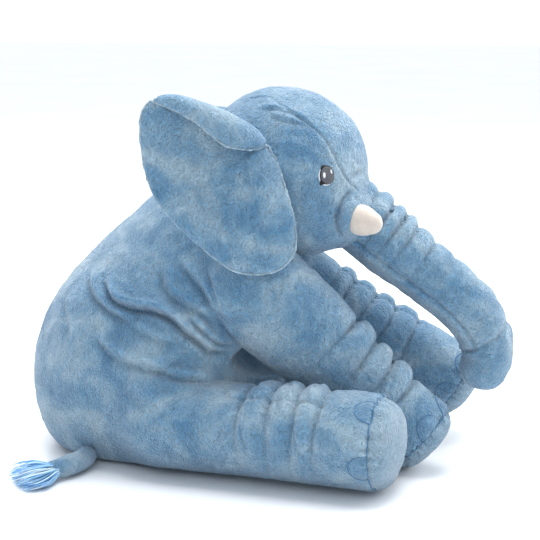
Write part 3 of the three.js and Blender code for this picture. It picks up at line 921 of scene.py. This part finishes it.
# Wrinkles of the head on the right side: line, height, width.
HEAD_FOLDS = [
    ([(62, -65, 410), (48, -69, 414), (36, -71, 416), (22, -72, 419), (4, -68, 424)], 2.6, 4.5),
    ([(60, -65, 413), (42, -66, 424), (26, -64, 429), (10, -62, 431), (-12, -60, 432)], 2.6, 4.5),
    ([(-34, -52, 436), (-24, -62, 424), (-14, -70, 414)], 2.0, 4.5),
    ([(63, -86, 337), (68, -80, 318), (74, -74, 303)], 2.0, 9),
    ([(20, -92, 330), (38, -90, 312), (58, -82, 290)], 1.5, 10),
]


def head_creases():
    shapes = []
    for line, depth, width, swell, reach, fade in HEAD_LINES:
        for side in (-1, 1):
            twin = [mirrored(p, -side) for p in line]
            shapes.append(Crease(twin, depth, width, side * swell, reach, fade))
    for line, height, width in HEAD_FOLDS:
        for side in (-1, 1):
            shapes.append(Fold([mirrored(p, -side) for p in line], height, width, side))
    return shapes


def make_head():
    head = skin("head_skin", head_field, (-110, -115, 236), (160, 115, 470), 3.7)
    sculpt(head, head_creases(), coarse=1.6, floor=False)
    dress(head, PLUSH, "head", ["head_cover", "head_stuffing"])
    return head


EYE_AT = (78, 78, 354)
# Embroidery from the bottom up: name, thread, centre, radii, height above the cover.
EYE_LAYERS = [
    ("halo", EYE_WHITE, (-0.8, -0.7), (9.8, 11.4), 0.4),
    ("outline", EYE_BLACK, (0, 0), (9.5, 11.4), 0.7),
    ("iris", EYE_GREY, (0.2, -0.1), (8.3, 10.3), 1.1),
    ("glint", EYE_WHITE, (-4.0, 0.0), (1.3, 3.2), 1.5),
    ("spark", EYE_WHITE, (5.6, 3.6), (0.9, 2.4), 1.5),
]


def eye_edge(label, a):
    """How far the outline of an eye layer stands out at an angle from forward towards up."""
    if label != "outline":
        return 1.0
    corner = math.exp(-((math.degrees(a) % 360 - 224) / 11) ** 2)
    lash = math.exp(-((math.degrees(a) % 360 - 118) / 17) ** 2)
    return 1 + 0.42 * corner + 0.16 * lash


def make_eye(side_name, side, tree):
    at = mirrored(EYE_AT, side)
    normal = unit(at - vec(*HEAD_CENTRE))
    up = unit(vec(0, 0, 1) - normal * normal[2])
    forward = np.cross(up, normal) * -side
    if forward[0] < 0:
        forward = -forward
    spokes, rings = 48, 4
    layers = []
    for label, material, centre, radii, lift in EYE_LAYERS:
        points = [laid_on(tree, at + forward * centre[0] + up * centre[1], lift)]
        for j in range(1, rings + 2):
            f = min(j / rings, 1.03)
            for i in range(spokes):
                a = 2 * math.pi * i / spokes
                reach = f * eye_edge(label, a)
                x = centre[0] + radii[0] * reach * math.cos(a)
                y = centre[1] + radii[1] * reach * math.sin(a)
                down = lift if j <= rings else lift - 0.7
                points.append(laid_on(tree, at + forward * x + up * y, down))
        faces = [[0, 1 + i, 1 + (i + 1) % spokes] for i in range(spokes)]
        faces += grid_faces(rings + 1, spokes, start=1, ring=True, down=True)
        layer = new_object(f"eye_{side_name}_{label}", points, faces)
        face_out(layer)
        layer.data.materials.append(material)
        layers.append(layer)
    eye = joined(layers, f"embroidered_eye_{side_name}")
    dress(eye, None, "head", [f"eye_{side_name}"])


def face_out(obj):
    bm = bmesh.new()
    bm.from_mesh(obj.data)
    bmesh.ops.recalc_face_normals(bm, faces=bm.faces)
    middle = Vector(place(HEAD_CENTRE))
    if sum((f.calc_center_median() - middle).dot(f.normal) for f in bm.faces) < 0:
        bmesh.ops.reverse_faces(bm, faces=bm.faces)
    bm.to_mesh(obj.data)
    bm.free()


def joined(objs, name):
    """One object from several, keeping each one's material."""
    points, faces, slots, materials = [], [], [], []
    for obj in objs:
        materials.append(obj.data.materials[0])
        faces += faces_of(obj, len(points))
        points += points_of(obj).tolist()
        slots += [len(materials) - 1] * len(obj.data.polygons)
        bpy.data.objects.remove(obj)
    one = new_object(name, points, faces)
    for material in materials:
        one.data.materials.append(material)
    one.data.polygons.foreach_set("material_index", slots)
    return one


TUSK_ROOT, TUSK_TIP = (103, 64, 302), (144, 76.5, 294.5)
TUSK_RUN, TUSK_GIRTH = (6, 14, 22, 32), (14.8, 17.4, 16.4, 12.0, 8.2)
TUSK_DOME = 9.5                # length of its round end
COLLAR_RADIUS, COLLAR_AT = 14, 3
COLLAR_ROUND, COLLAR_STRETCH = 6.2, (1.15, 1.2)          # across the tusk and along it


def make_tusk(side_name, side):
    root, tip = mirrored(TUSK_ROOT, side), mirrored(TUSK_TIP, side)
    axis = unit(tip - root)
    length = np.linalg.norm(tip - root)

    def split(p):
        q = offset(p, root)
        s = dot(q, axis)
        return s, np.sqrt(np.maximum(sum(q[i] ** 2 for i in range(3)) - s * s, 0))

    def tusk_field(p):
        s, rho = split(p)
        r = np.interp(s, [*TUSK_RUN, length], TUSK_GIRTH)
        past = np.maximum(s - (length - TUSK_DOME), 0)
        return np.sqrt(rho ** 2 + past ** 2 + (3 * np.minimum(s - 8, 0)) ** 2) - r

    def collar_field(p):
        s, rho = split(p)
        out, up = (rho - COLLAR_RADIUS) / COLLAR_STRETCH[0], (s - COLLAR_AT) / COLLAR_STRETCH[1]
        return np.sqrt(out ** 2 + up ** 2) - COLLAR_ROUND

    low, high = root - 45, tip + 45
    low[1], high[1] = min(root[1], tip[1]) - 40, max(root[1], tip[1]) + 40
    tusk = skin(f"tusk_{side_name}_skin", tusk_field, low, high, 2.6)
    sculpt(tusk, [], coarse=1.8, fine=0.35, floor=False)
    dress(tusk, TUSK, "head", [f"tusk_{side_name}"])
    collar = skin(f"tusk_{side_name}_fold", collar_field, low, high, 2.6)
    sculpt(collar, [], coarse=1.6, fine=0.6, floor=False)
    dress(collar, PLUSH, "head", [f"tusk_collar_{side_name}"])


# trunk
TRUNK_PATH = [(80, 312), (110, 290), (147, 260), (184, 231), (222, 202), (250, 175), (266, 147),
              (270, 123), (265, 104)]
TRUNK_RADII = [(0, 43), (37, 42), (84, 41.5), (132, 38.5), (180, 37), (220, 36.5), (252, 34.5),
               (290, 30)]
# Puffs between two distances along the trunk, and how far each stands out.
TRUNK_PUFFS = [(16, 36, 4), (36, 60, 7), (60, 80, 6.5), (80, 100, 6), (100, 129, 4), (129, 160, 2.4),
               (160, 194, 2.0), (194, 223, 1.6)]
# Where a section ends, and where the bend into the next one starts and stops.
TRUNK_CUTS = [(112, 116, 156), (206, 210, 250)]
TRUNK_ROOT_BEND = (14, 56)
UNDER_SEAM = 112               # degrees from the trunk's upper side
CROSS_SEAM, CROSS_SLANT = 243, 15
TRUNK_LINE = spline(TRUNK_PATH, 49)
TRUNK_STEPS = np.linalg.norm(np.diff(TRUNK_LINE, axis=0), axis=1)
TRUNK_RUN = np.concatenate([[0], np.cumsum(TRUNK_STEPS)])


def trunk_local(p):
    """How far along the trunk, the angle from its upper side, and the distance from its centre."""
    best, run, side, over = FAR ** 2, 0.0, 0.0, 0.0
    last = len(TRUNK_STEPS) - 1
    for i, size in enumerate(TRUNK_STEPS):
        a = TRUNK_LINE[i]
        t = (TRUNK_LINE[i + 1] - a) / size
        qx, qz = p[0] - a[0], p[2] - a[1]
        s = qx * t[0] + qz * t[1]
        v = -qx * t[1] + qz * t[0]
        past = np.where(s > size, s - size, 0) + np.where(s < 0, -s, 0)
        gap = v * v + past ** 2
        near = gap < best
        best = np.where(near, gap, best)
        run = np.where(near, TRUNK_RUN[i] + np.clip(s, 0, size), run)
        side = np.where(near, v, side)
        over = np.where(near, past if i in (0, last) else 0.0, over)
    rho = np.sqrt(side ** 2 + p[1] ** 2 + (1.25 * over) ** 2)
    return run, np.arctan2(np.abs(p[1]), side + 0 * p[1]), rho


def trunk_field(p):
    s, turn, rho = trunk_local(p)
    r = np.interp(s, *zip(*TRUNK_RADII))
    high = np.clip(0.5 + 0.6 * np.cos(turn), 0.05, 1)
    for a, b, size in TRUNK_PUFFS:
        t = np.clip((s - a) / (b - a), 0, 1)
        r = r + size * high * np.sin(np.pi * t) ** PUFF_POWER
        r = r - 0.4 * size * high * np.exp(-((s - b) / 4.0) ** 2)
    gap = (turn - math.radians(UNDER_SEAM)) * r
    ends = 1 - ease(s, CROSS_SEAM + 3, CROSS_SEAM + 19)
    r = r - 3.6 * ends * np.exp(-(gap / 3.0) ** 2) - 2.5 * ease(gap, 4, 26) * ends
    cross = s - (CROSS_SEAM + CROSS_SLANT * turn / math.radians(UNDER_SEAM))
    r = r - 2.8 * np.exp(-(cross / 3.2) ** 2)
    gathered = ease(cross, 2, 8) * (1 - ease(cross, 12, 26))
    r = r + 0.9 * np.cos(turn * 9) * gathered
    return rho - r


def trunk_at(run):
    x, z = (np.interp(run, TRUNK_RUN, TRUNK_LINE[:, i]) for i in (0, 1))
    return vec(x, 0, z)


def make_trunk():
    """One tube, cut into sections where the next section begins."""
    rest = skin("trunk_base_skin", trunk_field, (20, -60, 66), (322, 60, 372), 3.4)
    sculpt(rest, [], coarse=1.2, fine=0.6, floor=False)
    bodies = ["head", "trunk_base", "trunk_middle", "trunk_tip"]
    bends = [TRUNK_ROOT_BEND] + [cut[1:] for cut in TRUNK_CUTS]
    sections = [rest]
    for i, (start, end) in enumerate(bends):
        section = sections[-1]
        if i < len(TRUNK_CUTS):
            a, b = (trunk_at(s) for s in TRUNK_CUTS[i][1:])
            cut = trunk_at(TRUNK_CUTS[i][0])
            sections.append(split_at(section, place(cut), unit(b - a), f"{bodies[i + 2]}_skin"))
        body = bodies[i + 1]
        dress(section, PLUSH, None, [f"{body}_cover", f"{body}_stuffing"])
        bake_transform(section)


# ears
EAR_HUB = (-44, 352)
EAR_OUTLINE = [(8, 396), (-10, 411), (-37, 426), (-64, 438), (-92, 447), (-117, 446), (-129, 430),
               (-130, 405), (-126, 378), (-117, 347), (-100, 319), (-70, 289), (-44, 266),
               (-20, 250), (8, 246), (32, 252), (46, 268), (48, 288), (44, 312), (33, 342), (21, 372)]
EAR_TURNS = (36, 128)          # the folded lip runs between these directions from the hub
LIP_WIDTH, LIP_ROUND = 17.0, 9.5
EAR_HALF = 5.6                 # half the thickness
EAR_GRID = (150, 44)           # points round the ear and from its hub to its edge
EAR_DROOP = {"right": 0, "left": 17}
DROOP_HUB = (25, 362)


def ear_reach(turn):
    """Distance from the hub to the outline in each direction."""
    line = spline(EAR_OUTLINE + EAR_OUTLINE[:1], 400) - vec(*EAR_HUB)
    angle = np.unwrap(np.arctan2(line[:, 1], line[:, 0]))
    order = np.argsort(angle % (2 * np.pi))
    return np.interp(turn % (2 * np.pi), (angle % (2 * np.pi))[order],
                     np.linalg.norm(line, axis=1)[order], period=2 * np.pi)


def ear_sheet(side):
    """Middle surface of the ear: its upper edge rolls over outwards into a lip."""
    around, across = EAR_GRID
    turn = np.linspace(0, 2 * np.pi, around, endpoint=False)[:, None]
    a, b = (math.radians(v) for v in EAR_TURNS)
    t = np.clip((turn - a) / (b - a), 0, 1)
    lens = np.sin(np.pi * t) ** 0.42
    roll = np.maximum(LIP_ROUND * lens, 0.5)
    reach = ear_reach(turn)
    edge = reach - LIP_ROUND * lens
    total = edge + lens * (np.pi * LIP_ROUND + LIP_WIDTH)
    run = total * np.linspace(0, 1, across)[None, :] ** 0.92
    past = np.maximum(run - edge, 0) * (lens > 0.02)
    bend = np.minimum(past / roll, np.pi)
    back = np.maximum(past - np.pi * roll, 0)
    flat = np.where(past > 0, edge + roll * np.sin(bend) - back, np.minimum(run, total))
    off = roll * (1 - np.cos(bend)) + 0.1 * back
    x = EAR_HUB[0] + flat * np.cos(turn)
    z = EAR_HUB[1] + flat * np.sin(turn)
    dish = -9 * (1 - ease(run / total, 0.25, 0.95)) + 5 * ease(x, -60, 30) * (1 - ease(z, 330, 400))
    root = np.exp(-(np.hypot((x - 26) * 1.2, (z - 372) * 0.42) / 20) ** 2)
    y = 104 + 0.3 * (20 - x) + 0.22 * (396 - z) + off + dish - 17 * root
    return x, y * side, z, run / total


def make_ear(side_name, side):
    x, y, z, share = ear_sheet(side)
    droop = -math.radians(EAR_DROOP[side_name])
    c, s = math.cos(droop), math.sin(droop)
    dx, dz = x - DROOP_HUB[0], z - DROOP_HUB[1]
    x, z = DROOP_HUB[0] + c * dx + s * dz, DROOP_HUB[1] - s * dx + c * dz
    middle = np.stack([x, y, z], -1)
    du = np.roll(middle, -1, 0) - np.roll(middle, 1, 0)
    dv = np.gradient(middle, axis=1)
    normal = np.cross(du, dv)
    normal[:, 0] = normal[:, 1].mean(0)
    normal /= np.linalg.norm(normal, axis=-1, keepdims=True) + 1e-9
    half = (EAR_HALF * np.sqrt(np.clip(1 - share ** 7, 0, 1)) + 0.2)[..., None]
    around, across = EAR_GRID
    sheets = [middle + normal * half, middle - normal * half]
    points = np.concatenate([sheet.reshape(-1, 3) for sheet in sheets])
    faces = []
    for k in (0, 1):
        faces += grid_faces(around, across, k * around * across, loop=True, down=True, flip=k == 0)
    for i in range(around):
        a = i * across + across - 1
        b = (i + 1) % around * across + across - 1
        faces.append([a, b, b + around * across, a + around * across])
    ear = new_object(f"ear_{side_name}_skin", points, faces)
    close_middle(ear)
    subdivided(ear)
    sculpt(ear, [], coarse=1.8, fine=0.5, floor=False)
    dress(ear, PLUSH, f"ear_{side_name}",
          [f"ear_{side_name}_cover", f"ear_{side_name}_padding"])
    # a seam ridge round the ear's edge; its paler plush is a painted rim highlight
    edge = middle[:, -1]
    rim = tube_mesh(f"ear_{side_name}_piping", [edge], 1.3, 8, closed=True)
    sculpt_small(rim, 0.9)
    dress(rim, RIM_PAINTED_HIGHLIGHT, f"ear_{side_name}")


def close_middle(obj):
    """Welds the hub's doubled points and makes all faces look outwards."""
    bm = bmesh.new()
    bm.from_mesh(obj.data)
    bmesh.ops.remove_doubles(bm, verts=bm.verts, dist=0.00005)
    bmesh.ops.dissolve_degenerate(bm, edges=bm.edges, dist=0.00001)
    bmesh.ops.recalc_face_normals(bm, faces=bm.faces)
    bm.to_mesh(obj.data)
    bm.free()
    obj.data.polygons.foreach_set("use_smooth", np.ones(len(obj.data.polygons), bool))


def tube_mesh(name, lines, radius, sides, closed=False, tints=None):
    """Thin tubes along lines; open ones taper to their tips."""
    points, faces, shade = [], [], []
    for n, line in enumerate(lines):
        line = np.asarray(line, float)
        count = len(line)
        tangent = (np.roll(line, -1, 0) - np.roll(line, 1, 0)) if closed else np.gradient(line, axis=0)
        tangent /= np.linalg.norm(tangent, axis=1, keepdims=True) + 1e-9
        first = np.cross(tangent, vec(0.31, 0.42, 0.85))
        first /= np.linalg.norm(first, axis=1, keepdims=True)
        second = np.cross(tangent, first)
        start = len(points)
        for i in range(count):
            r = radius if closed else radius * (1 - 0.75 * (i / (count - 1)) ** 3)
            for k in range(sides):
                a = 2 * math.pi * k / sides
                points.append(line[i] + r * (first[i] * math.cos(a) + second[i] * math.sin(a)))
                shade.append(tints[n] if tints is not None else 0.5)
        faces += grid_faces(count, sides, start, ring=True, loop=closed)
        if not closed:
            faces.append([start + k for k in range(sides)][::-1])
            faces.append([start + (count - 1) * sides + k for k in range(sides)])
    obj = new_object(name, points, faces)
    layer = obj.data.attributes.new("tint", "FLOAT", "POINT")
    layer.data.foreach_set("value", np.array(shade, np.float32))
    return obj


# tail
TAIL_PATH = [(-226, -84, 10), (-217, -98, 10), (-208, -116, 11), (-207, -138, 12.5), (-216, -166, 13.5),
             (-232, -187, 12.6)]
TAIL_RADII = [8, 9, 10.5, 12.6, 13, 11]
TASSEL_TIP = (-268, -219, 7)
STRANDS = 190
STRAND_RADIUS, STRAND_SIDES, STRAND_POINTS = 0.95, 5, 11
STRAND_SHARE = (0.72, 1.08)    # of the tassel's length
STRAND_WAVE = (0.5, 2.2)
TASSEL_NECK, TASSEL_SWELL = 7.5, 12


def tail_field(p):
    line, radii = spline(TAIL_PATH, 26), spline([(r, 0) for r in TAIL_RADII], 26)[:, 0]
    value = FAR
    for a, b, ra, rb in zip(line[:-1], line[1:], radii[:-1], radii[1:]):
        value = np.minimum(value, capsule(p, a, b, ra, rb))
    return meet(value, FLOOR - p[2], 4)


def make_tail():
    tail = skin("tail_skin", tail_field, (-270, -212, -6), (-184, -40, 52), 3.0)
    sculpt(tail, [], coarse=1.0, fine=0.6)
    dress(tail, PLUSH, "tail", ["tail_cover", "tail_stuffing"])
    rng = np.random.RandomState(5)
    root, tip = vec(*TAIL_PATH[-1]), vec(*TASSEL_TIP)
    axis = unit(tip - root)
    side = unit(np.cross(axis, vec(0, 0, 1)))
    rise = np.cross(side, axis)
    lines, tints = [], []
    for _ in range(STRANDS):
        a, f = rng.uniform(0, 2 * math.pi), math.sqrt(rng.uniform())
        fan = (side * math.cos(a) * 1.5 + rise * math.sin(a)) * f
        size = rng.uniform(*STRAND_SHARE) * np.linalg.norm(tip - root)
        wave, turn = rng.uniform(*STRAND_WAVE), rng.uniform(0, 6.3)
        line = []
        for t in np.linspace(-0.06, 1, STRAND_POINTS):
            spread = TASSEL_NECK + TASSEL_SWELL * math.sin(min(max(t, 0), 1) * math.pi * 0.62)
            p = root + axis * size * t + fan * spread
            p = p + side * wave * math.sin(5 * t + turn) + rise * wave * 0.5 * math.cos(6 * t + turn)
            p[2] = max(p[2], 1.6 + 1.5 * f)
            line.append(p)
        lines.append(line)
        tints.append(rng.uniform())
    tassel = tube_mesh("tail_tassel_strands", lines, STRAND_RADIUS, STRAND_SIDES, tints=tints)
    dress(tassel, THREAD, "tail", ["tail_tassel"])


# everything together
make_torso()
for limb in ARMS + LEGS:
    make_limb(limb)
head_skin = make_head()
head_tree = surface_tree(head_skin)
for side_name, side in SIDES:
    make_eye(side_name, side, head_tree)
    make_tusk(side_name, side)
    make_ear(side_name, side)
make_trunk()
make_tail()


# room light and camera
def add_light(name, at, aim, size, power, colour=(1, 1, 1)):
    data = bpy.data.lights.new(name, "AREA")
    data.size, data.energy, data.color = size, power, colour
    light = bpy.data.objects.new(name, data)
    bpy.context.scene.collection.objects.link(light)
    light.location = at
    light.rotation_euler = (Vector(aim) - Vector(at)).to_track_quat("-Z", "Y").to_euler()


SKY = [(0.0, (0.49, 0.53, 0.57, 1.0)), (1.0, (0.97, 0.985, 1.0, 1.0))]
SKY_STRENGTH = 1.3


def make_studio():
    """Bright sky behind the toy, dimmer in front of it, and soft windows on both sides."""
    world = bpy.data.worlds.new("studio")
    world.use_nodes = True
    tree = world.node_tree
    sky = tree.nodes["Background"]
    split = tree.nodes.new("ShaderNodeSeparateXYZ")
    tree.links.new(tree.nodes.new("ShaderNodeTexCoord").outputs["Generated"], split.inputs[0])
    band = tree.nodes.new("ShaderNodeValToRGB")
    for stop, (position, colour) in zip(band.color_ramp.elements, SKY):
        stop.position, stop.color = position, colour
    lifted = tree.nodes.new("ShaderNodeMath")
    lifted.operation, lifted.inputs[1].default_value = "ADD", 0.5
    tree.links.new(split.outputs["Y"], lifted.inputs[0])
    tree.links.new(lifted.outputs[0], band.inputs["Fac"])
    tree.links.new(band.outputs["Color"], sky.inputs["Color"])
    sky.inputs["Strength"].default_value = SKY_STRENGTH
    bpy.context.scene.world = world
    middle = (0.02, 0.0, 0.22)
    add_light("window_left", (-1.5, 1.5, 1.5), middle, 1.5, 30)
    add_light("window_right", (1.5, 1.4, 1.3), middle, 1.5, 36)
    add_light("overhead", (0.1, 0.5, 2.2), middle, 1.6, 64)
    add_light("front_fill", (0.5, -2.2, 1.5), middle, 1.8, 8)
    floor = new_object("studio_floor", [(-6000, -4000, -0.5), (6000, -4000, -0.5), (6000, 9000, -0.5),
                                        (-6000, 9000, -0.5)], [(0, 1, 2, 3)], smooth=False)
    m = Nodes("pale_floor")
    tone = m.ramp(m.noise(3, 2), [(0.3, (0.86, 0.88, 0.90, 1)), (0.7, (0.90, 0.91, 0.93, 1))])
    floor.data.materials.append(m.finish(tone, Roughness=0.35))


CAMERA_AZIMUTH, CAMERA_ELEVATION = 8, 11
CAMERA_DISTANCE = 2.05
CAMERA_TARGET = (0.0046, 0.0, 0.22307)
CAMERA_LENS = 109.67


def make_camera():
    a, e = math.radians(CAMERA_AZIMUTH), math.radians(CAMERA_ELEVATION)
    back = Vector((math.sin(a) * math.cos(e), -math.cos(a) * math.cos(e), math.sin(e)))
    data = bpy.data.cameras.new("camera")
    data.lens, data.sensor_width = CAMERA_LENS, 36
    camera = bpy.data.objects.new("camera", data)
    bpy.context.scene.collection.objects.link(camera)
    camera.location = Vector(CAMERA_TARGET) + back * CAMERA_DISTANCE
    camera.rotation_euler = back.to_track_quat("Z", "Y").to_euler()
    bpy.context.scene.camera = camera


make_studio()
make_camera()
bpy.context.scene.view_settings.view_transform = "Standard"
